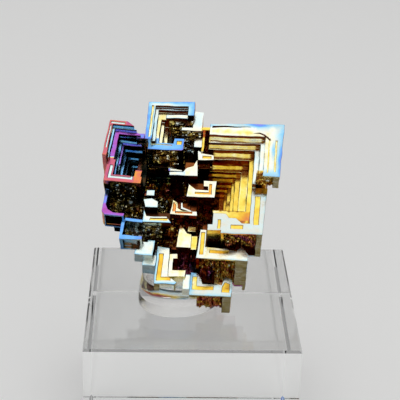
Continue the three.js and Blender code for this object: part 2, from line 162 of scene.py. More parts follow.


# ---------------------------------------------------------------- oxide film

# What the oxide looks like on the faces that look out of the crystal. Each row holds an area's limits in u and v,
# its limits in w, the film's thickness along the area's border and inside it, how far in it changes, and how much
# painted shade lies on it. A later row wins over an earlier one.
MAIN_FACES = [
    # the floors deep inside
    (-12, 14, -9, 16, -30, -4.8, 1.22, 1.30, 2.0, 0.97),
    # the big hopper: its rim, then each tread's level part and its upright part
    (0.4, 13.8, 5.1, 16.2, -0.1, 0.1, 0.80, 1.00, 2.4, 0.10),
    (0.4, 8.6, 13.3, 15.0, -0.1, 0.1, 0.98, 1.06, 0.9, 0.0),
    (0.5, 7.8, 14.7, 15.4, -2, -0.3, 1.30, 1.30, 1.0, 0.97),
    (8, 11.6, 12.5, 14.3, -0.6, -0.4, 1.20, 1.20, 1.0, 0.90),
    (11.0, 11.4, 5.5, 13.2, -0.25, -0.12, 1.08, 1.08, 1.0, 0.0),
    (12.2, 12.7, 6.0, 12.7, -0.25, -0.12, 1.05, 1.05, 1.0, 0.0),
    (-1, 9.7, 12.6, 13.5, -1.5, -1.2, 1.00, 1.05, 0.5, 0.0),
    (9.6, 10.6, 4, 12.8, -1.5, -1.2, 0.92, 0.96, 0.4, 0.0),
    (-1, 8.8, 12.0, 12.7, -2.9, -2.5, 1.02, 1.06, 0.4, 0.0),
    (8.7, 9.8, 4, 12.2, -2.9, -2.5, 0.88, 0.96, 0.4, 0.0),
    (-1, 8.0, 11.0, 12.1, -4.5, -4.2, 1.03, 1.06, 0.4, 0.0),
    (7.9, 8.9, 0.5, 11.2, -4.5, -4.2, 1.08, 1.12, 0.4, 0.0),
    (-1, 6.6, 10.0, 11.1, -7.4, -7.0, 1.08, 1.10, 0.4, 0.04),
    (6.5, 8.1, 0.5, 10.3, -7.4, -7.0, 1.04, 1.11, 0.5, 0.0),
    (-1, 5.7, 9.8, 10.2, -8.7, -8.3, 1.14, 1.14, 0.4, 0.5),
    (5.6, 6.7, 0.5, 9.9, -8.7, -8.3, 1.12, 1.12, 0.4, 0.0),
    (-1, 5.1, 9.3, 9.9, -9.8, -9.4, 1.16, 1.16, 0.4, 0.5),
    (5.0, 5.8, 0.5, 9.5, -9.8, -9.4, 1.11, 1.12, 0.4, 0.0),
    (-1, 4.4, 9.1, 9.5, -11.4, -11, 1.18, 1.18, 0.4, 0.6),
    (4.3, 5.2, 0.5, 9.3, -11.4, -11, 1.13, 1.13, 0.4, 0.05),
    (-1, 3.9, 8.9, 9.3, -12.8, -12.4, 1.20, 1.20, 0.4, 0.6),
    (3.8, 4.5, 0.5, 9.1, -12.8, -12.4, 1.16, 1.16, 0.4, 0.1),
    (2.9, 4.0, 0.5, 9.0, -14.2, -13.8, 1.24, 1.24, 0.4, 0.15),
    # the big hopper's lower block and its insets
    (0.4, 11.6, -4.2, 5.4, -4.1, -3.9, 0.87, 0.94, 0.7, 0.20),
    (0.4, 11.6, -4.2, 5.4, -4.25, -4.12, 1.12, 1.12, 1.0, 0.0),
    # the third, fourth and corner plates
    (-0.1, 9.2, -7.4, -0.8, -8.1, -7.9, 0.88, 0.98, 0.6, 0.06),
    (-0.1, 9.2, -7.4, -0.8, -8.25, -8.12, 1.10, 1.14, 0.3, 0.0),
    (-1.0, 6.8, -12.0, -7.3, -13.1, -12.9, 0.84, 0.94, 0.8, 0.16),
    (-1.0, 6.8, -12.0, -7.3, -13.25, -13.12, 1.10, 1.15, 0.3, 0.0),
    (-2.2, -0.7, -10.8, -7.7, -13.3, -13.1, 0.90, 0.99, 0.5, 0.0),
    (-7.3, -3.0, -10.4, -2.8, -12.1, -11.9, 0.78, 0.98, 0.9, 0.05),
    (-7.3, -3.0, -10.4, -2.8, -12.25, -12.12, 1.08, 1.16, 0.25, 0.0),
    (-5.2, -1.7, -8.8, -4.0, -12.5, -12.3, 0.97, 1.01, 0.3, 0.0),
    # the small plates in the middle
    (-1.5, 1.7, 9.8, 12.0, -3.1, -2.9, 0.97, 1.00, 0.4, 0.0),
    (-1.5, 1.7, 9.8, 12.0, -3.25, -3.12, 1.12, 1.16, 0.3, 0.0),
    (-3.7, -0.9, 7.1, 10.7, -4.1, -3.9, 0.96, 1.01, 0.5, 0.0),
    (-6.2, -3.3, 7.1, 8.0, -4.1, -3.9, 0.86, 0.98, 0.5, 0.0),
    (-6.5, -3.7, 8.1, 9.0, -4.5, -4.3, 0.90, 1.00, 0.4, 0.1),
    (-2.8, 2.6, 3.4, 6.9, -5.1, -4.9, 0.97, 1.00, 0.4, 0.0),
    (-2.8, 2.6, 3.4, 6.9, -5.25, -5.12, 1.12, 1.20, 0.3, 0.0),
    (-5.4, -0.4, 0.4, 3.6, -6.6, -6.4, 0.97, 1.01, 0.4, 0.0),
    (-5.4, -0.4, 0.4, 3.6, -6.75, -6.62, 1.14, 1.26, 0.3, 0.0),
    (-5.4, -0.4, 1.4, 3.6, -7.1, -6.95, 0.96, 0.96, 0.3, 0.0),
    (-3.8, -0.5, -4.7, 0.2, -9.1, -8.9, 1.00, 1.03, 0.6, 0.0),
    (-2.1, -0.5, -1.3, 0.0, -9.4, -9.2, 1.02, 1.08, 0.6, 0.0),
    (-1.3, 0.0, -4.7, -1.9, -9.7, -9.5, 1.00, 1.10, 0.3, 0.0),
    (-10.1, -4.8, -0.9, 1.8, -7.1, -6.9, 0.80, 0.96, 0.6, 0.0),
    (-10.1, -4.8, -0.9, 1.8, -7.25, -7.12, 1.10, 1.14, 0.3, 0.0),
    (-9.9, -8.3, 3.9, 5.2, -6.1, -5.9, 0.88, 0.93, 0.5, 0.0),
    (-10.3, -7.5, 1.8, 3.8, -6.5, -6.3, 0.88, 0.96, 0.6, 0.0),
    # the top hopper: rim, channel, treads, its bar and its neighbours
    (-11.0, -2.4, 12.0, 20.4, -0.1, 0.1, 0.73, 0.88, 1.7, 0.0),
    (-10.35, -9.8, 12.5, 19.3, -0.25, -0.12, 1.05, 1.05, 1.0, 0.0),
    (-9.7, -3.6, 10.9, 19.3, -0.8, -0.6, 0.86, 0.90, 0.3, 0.0),
    (-9.1, -3.6, 10.9, 18.8, -1.7, -1.5, 1.00, 1.04, 0.3, 0.05),
    (-8.5, -2.3, 10.9, 17.4, -2.7, -2.5, 0.93, 1.02, 0.3, 0.0),
    (-7.9, -2.3, 10.9, 17.4, -4.3, -4.1, 0.97, 1.03, 0.3, 0.0),
    (-7.2, -5.9, 10.9, 17.4, -5.9, -5.7, 0.85, 0.90, 0.3, 0.0),
    (-6.5, -5.5, 10.9, 16.4, -7.7, -7.5, 0.97, 1.03, 0.3, 0.0),
    (-5.9, -5.1, 10.9, 15.6, -9.5, -9.3, 1.00, 1.06, 0.3, 0.0),
    (-7.7, -2.4, 17.2, 18.1, -1.1, -0.9, 0.86, 1.03, 0.5, 0.0),
    (-10.3, -3.8, 10.8, 13.4, -1.6, -1.4, 0.68, 0.75, 0.5, 0.0),
    (-10.3, -5.9, 11.5, 12.1, -1.75, -1.62, 0.92, 0.92, 0.5, 0.0),
    (-5.3, -4.2, 11.9, 12.9, -1.75, -1.62, 1.06, 1.16, 0.3, 0.0),
    (-2.8, -0.8, 15.6, 19.2, -1.6, -1.4, 0.97, 0.92, 0.4, 0.0),
    (-4.7, -0.8, 15.0, 15.7, -1.6, -1.4, 0.96, 0.97, 0.3, 0.0),
    (-2.3, -0.5, 12.5, 14.5, -3.1, -2.9, 0.93, 0.96, 0.4, 0.0),
    # the walls between the hoppers
    (-0.95, 0.65, 11.3, 16.2, -2.5, -1.1, 1.08, 1.12, 0.3, 0.0),
    (-12.9, -11.3, 15.2, 16.4, -5.1, -4.9, 0.62, 0.72, 0.6, 0.0),
]

# The same for the left-hand crystal, in its own axes.
WEST_FACES = [
    (-4.6, 6.1, 2.0, 9.6, -0.1, 0.1, 1.30, 1.36, 0.5, 0.0),
    (-1.2, 2.4, 6.0, 9.6, -0.1, 0.1, 1.46, 1.40, 0.5, 0.1),
    (-4.6, 0.1, 2.0, 9.6, -0.25, -0.12, 0.86, 0.91, 0.2, 0.0),
    (-3.8, 9, -1, 8.7, -0.9, -0.7, 0.78, 0.82, 0.2, 0.0),
    (-3.4, 9, -1, 8.4, -1.6, -1.4, 0.72, 0.55, 0.35, 0.0),
    (-2.5, 9, -1, 7.7, -4.1, -3.9, 0.80, 0.78, 0.3, 0.0),
    (-2.1, 9, -1, 7.6, -4.6, -4.4, 0.72, 0.62, 0.3, 0.0),
    (-2.1, 0, -1, 3.1, -2.7, -2.5, 0.74, 0.74, 0.3, 0.0),
    (-1.8, 0, -1, 3.1, -4.9, -4.7, 0.86, 0.80, 0.3, 0.0),
    (-1.6, 9, -1, 7.4, -6.6, -6.4, 0.80, 0.76, 0.4, 0.0),
    (-1.1, 9, -1, 7.3, -8.9, -8.7, 0.80, 0.80, 0.4, 0.0),
    (-0.7, 9, -1, 7.2, -9.9, -9.7, 1.8, 1.8, 0.4, 1.3),
    (-0.3, 9, -1, 7.2, -11.1, -10.9, 0.86, 0.84, 0.4, 0.0),
    (0.1, 9, -1, 6.6, -11.9, -11.7, 1.8, 1.8, 0.4, 1.2),
    (2.5, 9, -1, 6.2, -12.5, -12.3, 0.90, 0.86, 0.5, 0.1),
    (3.3, 9, -1, 5.7, -13.7, -13.5, 0.96, 0.92, 0.5, 0.3),
    (-3.6, 3.3, -2.4, 2.6, -1.6, -1.4, 1.32, 1.38, 0.5, 0.0),
    (1.9, 3.3, -2.4, 0.1, -1.6, -1.4, 1.24, 1.30, 0.4, 0.0),
    (-3.6, 3.3, -2.4, 4.1, -1.75, -1.62, 0.84, 0.90, 0.2, 0.0),
    (-3.3, 1.1, -7.6, -1.9, -4.6, -4.4, 0.62, 0.54, 0.5, 0.0),
    (-3.3, -2.5, -5.2, -1.9, -4.6, -4.4, 0.72, 0.64, 0.5, 0.0),
    (0.3, 4.9, -11.4, -6.9, -6.1, -5.9, 0.70, 0.74, 0.4, 0.0),
    (3.6, 7.1, -13.1, -9.9, -8.1, -7.9, 0.78, 0.95, 0.5, 0.0),
    (5.1, 7.7, -14.3, -11.9, -9.7, -9.5, 0.84, 0.97, 0.5, 0.1),
]

# Spots where the film on a rim is thinner or thicker: place, reach and change in thickness.
SPOTS = [
    ((9.2, 15.7, 0), (1.7, 0.4, 0.5), -0.12),
    ((13.4, 8.5, 0), (0.5, 3.0, 0.5), -0.12),
    ((12.0, 10.5, 0), (0.35, 1.6, 0.5), -0.14),
    ((3.0, 15.6, 0), (2.6, 0.3, 0.5), 0.06),
    ((11.6, 15.0, 0), (0.5, 0.5, 0.5), 0.10),
    ((-0.4, -9.3, -13), (0.7, 2.2, 0.5), -0.10),
    ((-8.5, 19.4, 0), (2.5, 0.4, 0.5), 0.12),
    ((-10.6, 13.0, 0), (0.6, 1.2, 0.5), -0.06),
]


# Where the sheltered faces and the ones that look down lie: boxes from a low to a high corner, in u, v, w.
BIG_PIT = [((-1.3, 0.5, -18), (10.6, 13.5, 0.1))]
CENTRE = [((-11.2, -8.5, -18), (1.5, 14, -3.2))]
HOLLOWS = [
    ((4.5, -4.2, -12.1), (10.3, -1.5, -4.3)),
    ((0.5, -6.1, -21), (7, -1, -8.3)),
    ((0.5, -11.6, -21), (5.2, -7, -13.3)),
    ((9.3, 5.3, -4.3), (12.4, 6.5, -0.3)),
]
TOP_PITS = [((-9.8, 12.0, -12), (-1.9, 19.3, 0.1)), ((-10.3, 8, -14), (-3.8, 12.3, -1.7))]
FRONTS = [
    ((10.2, -4.3, -12.6), (11.6, -3.9, -3.9)),
    ((6.8, -7.6, -20.2), (9.3, -6.9, -7.9)),
    ((5.0, -12.2, -20.4), (6.9, -11.6, -12.9)),
    ((12.2, 4.9, -4.2), (13.7, 5.5, -0.1)),
    ((-0.9, -12, -14), (6.8, -11.5, -12.5)),
    ((-7.3, -10.6, -15.2), (-3, -10.1, -12)),
]
# The same in the left-hand crystal's own axes.
WEST_PIT = [((-3.7, -1.0, -14.5), (9, 8.7, 0.1))]
WEST_NOOK = [((-3.6, -13.5, -14.5), (3, -1.5, -1.75))]
WEST_RIM_FRONT = [((-4.7, -2.5, -2.6), (3.3, 2.4, 0.1))]
WEST_LOW_FRONTS = [((-3.4, -14.4, -13.2), (7.8, -7.4, -4.4))]

# The levels of the treads in w, from the rim down: a riser stands on each.
BIG_TREADS = np.array([-1.35, -2.7, -4.4, -7.2, -8.5, -9.6, -11.2, -12.6, -14, -15.5])
WEST_TREADS = np.array([-0.8, -1.5, -2.6, -4, -4.5, -6.5, -8.8, -9.8, -11, -11.8, -12.4, -13.6, -15.5])


# Thickness of the film, and how much painted shade lies on it, away from the tables' areas.
OUTER_FILM, OUTER_SHADE = 1.12, 0.12
CENTRE_FILM, PIT_FILM = 1.24, 1.22
RISER_FILM, RISER_FILM_STEP = 0.985, 0.022  # at the rim, and what each tread further down adds
RISER_FOOT_SHADE, RISER_SHADE = 0.12, 0.9
RISER_FOOT_ACROSS, RISER_FOOT_ALONG = 0.50, 0.40  # millimetres that stay bright at a riser's foot
DEEP_BELOW, DEEP_FOOT = -7.3, 0.6  # below this w, that part of the height stays bright
FRONT_FILM, FRONT_SHADE, FRONT_COLD = 1.04, 0.62, 0.5
WEST_PIT_FILM, WEST_PIT_SHADE = 0.80, 1.15
WEST_FRONT_FILM, WEST_FRONT_SHADE, WEST_LOW_SHADE = 1.36, 0.25, 0.45


def in_boxes(q, boxes):
    """Whether each point lies in any of the boxes."""
    return np.any([np.all((q > low) & (q < high), axis=1) for low, high in boxes], axis=0)


def over_tread(w, treads):
    """For each height, the number of the first tread at or under it, and how far above that tread it is."""
    number = np.clip(np.searchsorted(-treads, -w), 0, len(treads) - 1)
    return number, w - treads[number]


def shade_hollows(q, west, normal, film, painted_shade, cold):
    """Painted shade on the pits' sides, the hollows under the rims and the floors: a riser is left bright at its foot
    and painted dark above.
    """
    nu, nv, nw = normal.T
    side = nw <= LOOKS_ALONG
    big_pit = in_boxes(q, BIG_PIT) & (nu < LOOKS_ALONG)
    hollow = in_boxes(q, HOLLOWS)
    centre = in_boxes(q, CENTRE)
    film[centre] = CENTRE_FILM
    film[big_pit | hollow] = PIT_FILM
    painted_shade[big_pit] = 1.0
    riser = big_pit & ((nv < -LOOKS_ALONG) | (nu < -LOOKS_ALONG))
    number, rise = over_tread(q[:, 2], BIG_TREADS)
    foot = np.where(nv < -LOOKS_ALONG, RISER_FOOT_ACROSS, RISER_FOOT_ALONG)
    foot = foot * np.where(q[:, 2] < DEEP_BELOW, DEEP_FOOT, 1.0)
    film[riser] = RISER_FILM + RISER_FILM_STEP * number[riser]
    painted_shade[riser] = RISER_FOOT_SHADE + RISER_SHADE * smooth(rise, foot, foot + 0.15)[riser]
    painted_shade[hollow | centre & side] = 0.98
    top_pits = in_boxes(q, TOP_PITS)
    painted_shade[top_pits & side] = 1.0
    cold[top_pits] = 0.55

    pit = in_boxes(west, WEST_PIT) & (q[:, 0] < WEST_END)
    nook = in_boxes(west, WEST_NOOK) & ((west[:, 0] > -2.7) | (nv < -LOOKS_ALONG))
    painted_shade[pit & side] = WEST_PIT_SHADE
    film[pit & side] = WEST_PIT_FILM
    riser = pit & (nv < -LOOKS_ALONG)
    rise = over_tread(west[:, 2], WEST_TREADS)[1]
    painted_shade[riser] = 0.1 + 1.1 * smooth(rise, 0.25, 0.4)[riser]
    painted_shade[nook & side] = 1.05
    cold[pit | nook] = 1.0
    cold[(q[:, 0] < -5) & centre & ~pit] = 0.6


def shade_fronts(q, west, normal, film, painted_shade, cold):
    """Painted shade on the outer faces that look down, which mirror the table."""
    down = normal[:, 1] < -0.6
    fronts = down & in_boxes(q, FRONTS)
    film[fronts], painted_shade[fronts], cold[fronts] = FRONT_FILM, FRONT_SHADE, FRONT_COLD
    rim_front = down & in_boxes(west, WEST_RIM_FRONT)
    film[rim_front], painted_shade[rim_front] = WEST_FRONT_FILM, WEST_FRONT_SHADE
    low = down & in_boxes(west, WEST_LOW_FRONTS)
    film[low] = (0.90 + 0.02 * west[:, 2] + 0.2 * smooth(west[:, 0], 0, 5))[low]
    painted_shade[low] = WEST_LOW_SHADE


def paint_faces(q, table, on, film, painted_shade):
    """Applies each row of a table to the corners that lie in it: the film runs from border to inside, and the row's
    painted shade is set.
    """
    u, v, w = q.T
    for u0, u1, v0, v1, w0, w1, edge, inside, reach, shade in table:
        border = np.minimum(np.minimum(u - u0, u1 - u), np.minimum(v - v0, v1 - v))
        hit = on & (border > -0.06) & (w > w0) & (w < w1)
        film[hit] = edge + (inside - edge) * smooth(border[hit], 0, reach)
        painted_shade[hit] = shade


def film_and_shade_of(q, normal):
    """Three numbers for each corner, from its place and the way that its face looks.

    film is the oxide's thickness: 1 for the first order of colours, 2 for the second. painted_shade is how much
    painted shade darkens the corner, most on sheltered faces and faces that look down. cold is 0 where that painted
    shade is brown and 1 where it is green-black.
    """
    west = to_west(q)
    outward = normal[:, 2] > LOOKS_ALONG
    film = OUTER_FILM + 0.26 * ripple(q, 14, 21)
    painted_shade = np.full(len(q), OUTER_SHADE)
    cold = np.zeros(len(q))
    shade_hollows(q, west, normal, film, painted_shade, cold)
    shade_fronts(q, west, normal, film, painted_shade, cold)
    paint_faces(q, MAIN_FACES, outward, film, painted_shade)
    paint_faces(west, WEST_FACES, outward & (q[:, 0] < WEST_END), film, painted_shade)
    for place, reach, change in SPOTS:
        distance = np.sqrt((((q - place) / reach) ** 2).sum(1))
        film += np.where(outward, change * (1 - smooth(distance, 0.3, 1.6)), 0)
    return film, painted_shade, cold


# ---------------------------------------------------------------- materials

# The colour of the mirror-bright oxide for each thickness, as linear red, green and blue.
FILM_COLOURS = [
    (0.00, (0.52, 0.50, 0.48)),
    (0.20, (0.62, 0.48, 0.22)),
    (0.34, (0.44, 0.20, 0.04)),
    (0.46, (0.36, 0.06, 0.20)),
    (0.54, (0.42, 0.11, 0.50)),
    (0.60, (0.36, 0.17, 0.68)),
    (0.66, (0.22, 0.24, 0.80)),
    (0.72, (0.14, 0.38, 0.90)),
    (0.78, (0.24, 0.56, 0.90)),
    (0.84, (0.42, 0.72, 0.86)),
    (0.90, (0.62, 0.80, 0.82)),
    (0.96, (0.82, 0.88, 0.80)),
    (1.00, (0.96, 0.95, 0.74)),
    (1.05, (0.96, 0.85, 0.38)),
    (1.10, (0.93, 0.73, 0.14)),
    (1.16, (0.86, 0.55, 0.06)),
    (1.22, (0.80, 0.36, 0.06)),
    (1.28, (0.72, 0.22, 0.10)),
    (1.34, (0.62, 0.16, 0.15)),
    (1.41, (0.55, 0.12, 0.24)),
    (1.48, (0.36, 0.07, 0.26)),
    (1.56, (0.14, 0.10, 0.34)),
    (1.66, (0.05, 0.24, 0.42)),
    (1.80, (0.08, 0.36, 0.24)),
]
FILM_RANGE = 2.0
# Painted shade: the warm and the cold dark colour laid over the film in sheltered places.
BROWN_SHADE = (0.150, 0.040, 0.008)
COLD_SHADE = (0.014, 0.018, 0.012)
BARE_SHEEN = (1.0, 1.0, 1.0)  # the bright edge of bare metal seen at a slant
# The edge tint under full painted shade.
SHADED_SHEEN = (0.05, 0.05, 0.05)
ROUGHNESS_SPREAD = 0.14  # how much rougher the coarsest grain is
RELIEF_DEPTH = 0.00006  # metres between the grain's lows and highs
SMUDGE_DEPTH = 0.0001
SMUDGE_BUMP = 0.04
LINE_STRETCH = (0.35, 0.35, 5.0)  # growth lines run along u and v and lie close together in w
MOTTLE_ON_SHADE = 2.5  # how much more mottling shifts the painted shade than the film


def new_material(name):
    """A material with nodes, its main shader and the function that links its sockets."""
    material = bpy.data.materials.new(name)
    material.use_nodes = True
    return material, material.node_tree.nodes["Principled BSDF"], material.node_tree.links.new


def add_node(material, kind, inputs=None, **settings):
    """One node, with its settings and the values of its inputs."""
    node = material.node_tree.nodes.new(kind)
    for key, value in settings.items():
        setattr(node, key, value)
    for key, value in (inputs or {}).items():
        node.inputs[key].default_value = value
    return node


def blend_node(material, link, first, second, share):
    """A node that goes from the first colour to the second as a linked share goes from 0 to 1."""
    node = add_node(material, "ShaderNodeMix", {"A": (*first, 1.0), "B": (*second, 1.0)}, data_type="RGBA")
    link(share, node.inputs["Factor"])
    return node


def film_material(name, settings, rough):
    """Bright metal whose colour is read from the film's thickness and darkened by painted shade, with mottling, fine
    growth lines and grain.

    The axes attribute holds the crystal's own u, v, w in millimetres, so growth lines follow the crystal.
    """
    material, shader, link = new_material(name)
    shader.inputs["Metallic"].default_value = 1.0
    film, painted_shade, cold, axes = (add_node(material, "ShaderNodeAttribute", attribute_name=attribute)
                              for attribute in ("film", "painted_shade", "cold", "axes"))

    mottle = add_node(material, "ShaderNodeTexNoise", {"Scale": settings.mottle_scale, "Detail": 3.0})
    link(axes.outputs["Vector"], mottle.inputs["Vector"])
    stretch = add_node(material, "ShaderNodeMapping", {"Scale": LINE_STRETCH})
    link(axes.outputs["Vector"], stretch.inputs["Vector"])
    lines = add_node(material, "ShaderNodeTexNoise", {"Scale": 1.0, "Detail": 2.0})
    link(stretch.outputs["Vector"], lines.inputs["Vector"])
    both = add_node(material, "ShaderNodeMath", operation="ADD")
    link(mottle.outputs["Fac"], both.inputs[0])
    link(lines.outputs["Fac"], both.inputs[1])
    shift = add_node(material, "ShaderNodeMath", {1: settings.mottle_strength, 2: -settings.mottle_strength},
                     operation="MULTIPLY_ADD")
    link(both.outputs[0], shift.inputs[0])
    total = add_node(material, "ShaderNodeMath", operation="ADD")
    link(film.outputs["Fac"], total.inputs[0])
    link(shift.outputs[0], total.inputs[1])
    scaled = add_node(material, "ShaderNodeMath", {1: FILM_RANGE}, operation="DIVIDE")
    link(total.outputs[0], scaled.inputs[0])

    ramp = add_node(material, "ShaderNodeValToRGB")
    stops = ramp.color_ramp.elements
    while len(stops) > 1:
        stops.remove(stops[-1])
    for index, (thickness, colour) in enumerate(FILM_COLOURS):
        stop = stops[0] if index == 0 else stops.new(thickness / FILM_RANGE)
        stop.position = thickness / FILM_RANGE
        stop.color = (*colour, 1.0)
    link(scaled.outputs[0], ramp.inputs["Fac"])

    # Painted shade: its dark colour covers the film's colour as the painted_shade attribute and the mottling say, and
    # it dims the edge tint.
    shade = blend_node(material, link, BROWN_SHADE, COLD_SHADE, cold.outputs["Fac"])
    shade_share = add_node(material, "ShaderNodeMath", {1: settings.mottle_strength * MOTTLE_ON_SHADE, 2: 0.0},
                     operation="MULTIPLY_ADD", use_clamp=True)
    centred = add_node(material, "ShaderNodeMath", {1: -1.0}, operation="ADD")
    link(both.outputs[0], centred.inputs[0])
    link(centred.outputs[0], shade_share.inputs[0])
    link(painted_shade.outputs["Fac"], shade_share.inputs[2])
    colour = add_node(material, "ShaderNodeMix", data_type="RGBA")
    link(shade_share.outputs[0], colour.inputs["Factor"])
    link(ramp.outputs["Color"], colour.inputs["A"])
    link(shade.outputs["Result"], colour.inputs["B"])
    link(colour.outputs["Result"], shader.inputs["Base Color"])
    sheen = blend_node(material, link, BARE_SHEEN, SHADED_SHEEN, shade_share.outputs[0])
    link(sheen.outputs["Result"], shader.inputs["Specular Tint"])

    grain = add_node(material, "ShaderNodeTexNoise", {"Scale": settings.grain_scale, "Detail": 4.0})
    link(axes.outputs["Vector"], grain.inputs["Vector"])
    roughness = add_node(material, "ShaderNodeMapRange", {"To Min": rough, "To Max": rough + ROUGHNESS_SPREAD})
    link(grain.outputs["Fac"], roughness.inputs["Value"])
    link(roughness.outputs["Result"], shader.inputs["Roughness"])
    relief = add_node(material, "ShaderNodeMath", operation="ADD")
    link(grain.outputs["Fac"], relief.inputs[0])
    link(lines.outputs["Fac"], relief.inputs[1])
    bump = add_node(material, "ShaderNodeBump", {"Strength": settings.grain_bump, "Distance": RELIEF_DEPTH})
    link(relief.outputs[0], bump.inputs["Height"])
    link(bump.outputs["Normal"], shader.inputs["Normal"])
    return material


DRAWN_IN = 0.08  # how far a corner is drawn towards its face's middle before the film's tables are read


def coat_mesh(mesh, q):
    """Stores the crystal's axes on a mesh's points; returns its corners, drawn in a little, and their normals."""
    axes = mesh.attributes.new("axes", "FLOAT_VECTOR", "POINT")
    axes.data.foreach_set("vector", np.ascontiguousarray(q, dtype=np.float32).ravel())
    vertex_of = np.empty(len(mesh.loops), dtype=np.int64)
    mesh.loops.foreach_get("vertex_index", vertex_of)
    normals = np.empty(len(mesh.polygons) * 3)
    mesh.polygons.foreach_get("normal", normals)
    sizes = np.empty(len(mesh.polygons), dtype=np.int64)
    mesh.polygons.foreach_get("loop_total", sizes)
    corner_normals = np.repeat(normals.reshape(-1, 3) @ AXES, sizes, axis=0)
    first = np.concatenate([[0], np.cumsum(sizes)[:-1]])
    middles = np.add.reduceat(q[vertex_of], first, axis=0) / sizes[:, None]
    return (1 - DRAWN_IN) * q[vertex_of] + DRAWN_IN * np.repeat(middles, sizes, axis=0), corner_normals


# ---------------------------------------------------------------- settings


class CrystalSettings(bpy.types.PropertyGroup):
    """The crystal's surface and its oxide film"""

    edge_round: FloatProperty(name="Edge rounding", description="Width of the rounding along the crystal's edges",
                              default=0.00005, unit="LENGTH")
    facet: FloatProperty(name="Facet size", description="Longest edge in the refined surface",
                         default=0.0005, unit="LENGTH")
    wobble: FloatProperty(name="Wobble", description="How far the crystal's faces wander from true flat",
                          default=0.00004, unit="LENGTH")
    rough: FloatProperty(name="Roughness", description="Roughness of the oxide film", default=0.15)
    mottle_scale: FloatProperty(name="Mottle scale", description="Fineness of the mottling, per millimetre",
                                default=0.9)
    mottle_strength: FloatProperty(name="Mottle strength", description="How far mottling shifts the film's thickness",
                                   default=0.13)
    grain_scale: FloatProperty(name="Grain scale", description="Fineness of the grain, per millimetre", default=3.0)
    grain_bump: FloatProperty(name="Grain bump", description="Strength of the surface grain", default=0.15)


class GrowthSettings(bpy.types.PropertyGroup):
    """The rough growth in the hollows"""

    step: FloatProperty(name="Step", description="Grid spacing of the rough growth", default=0.0001, unit="LENGTH")
    back: FloatProperty(name="Backing", description="Thickness of the growth behind its lowest point",
                        default=0.0002, unit="LENGTH")


class AdhesiveSettings(bpy.types.PropertyGroup):
    """The mound of clear adhesive"""

    mound_inset: FloatProperty(name="Inset", description="How far the drop stays inside its outer limit",
                               default=0.0001, unit="LENGTH")
    mound_lift: FloatProperty(name="Lift", description="How far the drop's foot stays above the block",
                              default=0.00002, unit="LENGTH")
    mound_fullness: FloatProperty(name="Fullness", description="Below 1 the drop is fuller, above 1 more pointed",
                                  default=0.32)


class StageSettings(bpy.types.PropertyGroup):
    """The floor and the lights"""

    floor_colour: FloatVectorProperty(name="Floor", description="Colour of the floor and backdrop", subtype="COLOR",
                                      default=(0.70, 0.70, 0.695))
    floor_glow: FloatProperty(name="Floor glow", description="Light that the lit table gives off by itself",
                              default=0.33)
    overhead_power: FloatProperty(name="Overhead", description="Power of the overhead softbox", default=0.75,
                                  unit="POWER")
    front_power: FloatProperty(name="Front", description="Power of the softbox behind the camera", default=1.3,
                               unit="POWER")
    world_light: FloatProperty(name="Room light", description="Strength of the even light from all round",
                               default=0.30)


# ---------------------------------------------------------------- the crystal's surface

MERGE_WITHIN = 2e-7  # metres
FLAT_ANGLE = math.radians(0.5)  # faces that meet at less are one face
SHARP_ANGLE = math.radians(20)  # edges that turn more are rounded
ROOM_NEEDED = 2.3  # how many edge roundings wide the faces beside a rounded edge are
REFINE_PASSES = 5
WANDER_SCALE = 3.0  # millimetres between the faces' rises


def has_room(edge, width):
    """Whether both faces of a bmesh edge reach at least a width away from it, so that it can be rounded."""
    start = np.array(edge.verts[0].co)
    along = np.array(edge.verts[1].co) - start
    length = np.linalg.norm(along)
    along /= length
    for face in edge.link_faces:
        others = np.array([v.co for v in face.verts if v not in edge.verts]) - start
        reach = others @ along
        away = np.linalg.norm(others - reach[:, None] * along, axis=1)
        if ((away < width) & (away > 1e-6) & (reach > -width) & (reach < length + width)).any():
            return False
    return True


class CRYSTAL_OT_body(bpy.types.Operator):
    """The crystal's outer surface: the model's faces with rounded edges, a slight wander, the oxide film and its
    painted shade
    """

    bl_idname = "crystal.make_body"
    bl_label = "Crystal"

    def execute(self, context):
        settings = context.scene.crystal_settings
        mesh = bpy.data.meshes.new("bismuth_crystal_surface")
        bm = bmesh.new()
        bm.from_mesh(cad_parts["bismuth_crystal"].data)
        bmesh.ops.remove_doubles(bm, verts=bm.verts, dist=MERGE_WITHIN)
        bmesh.ops.dissolve_limit(bm, angle_limit=FLAT_ANGLE, verts=bm.verts, edges=bm.edges)
        sharp = [e for e in bm.edges if len(e.link_faces) == 2 and e.calc_face_angle(0) > SHARP_ANGLE
                 and has_room(e, ROOM_NEEDED * settings.edge_round)]
        bmesh.ops.bevel(bm, geom=sharp, offset=settings.edge_round, segments=1, profile=0.5,
                        affect="EDGES", clamp_overlap=False)
        bmesh.ops.triangulate(bm, faces=bm.faces)
        for _ in range(REFINE_PASSES):
            long_edges = [e for e in bm.edges if e.calc_length() > settings.facet]
            if not long_edges:
                break
            bmesh.ops.subdivide_edges(bm, edges=long_edges, cuts=1, use_grid_fill=False)
            bmesh.ops.triangulate(bm, faces=[f for f in bm.faces if len(f.verts) > 3])
        bm.to_mesh(mesh)
        bm.free()

        co = np.empty(len(mesh.vertices) * 3)
        mesh.vertices.foreach_get("co", co)
        co = co.reshape(-1, 3)
        q = to_crystal(co)
        corners, normals = coat_mesh(mesh, q)
        for name, values in zip(("film", "painted_shade", "cold"), film_and_shade_of(corners, normals)):
            set_corner_floats(mesh, name, values)
        wander = np.stack([ripple(q, WANDER_SCALE, seed) for seed in (1, 2, 3)], 1) * settings.wobble
        mesh.vertices.foreach_set("co", (co + wander).ravel())
        mesh.update()

        piece = add_piece("crystal_surface", mesh, film_material("Oxide film", settings, settings.rough), False)
        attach(piece, "root")
        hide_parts("bismuth_crystal")
        return {"FINISHED"}
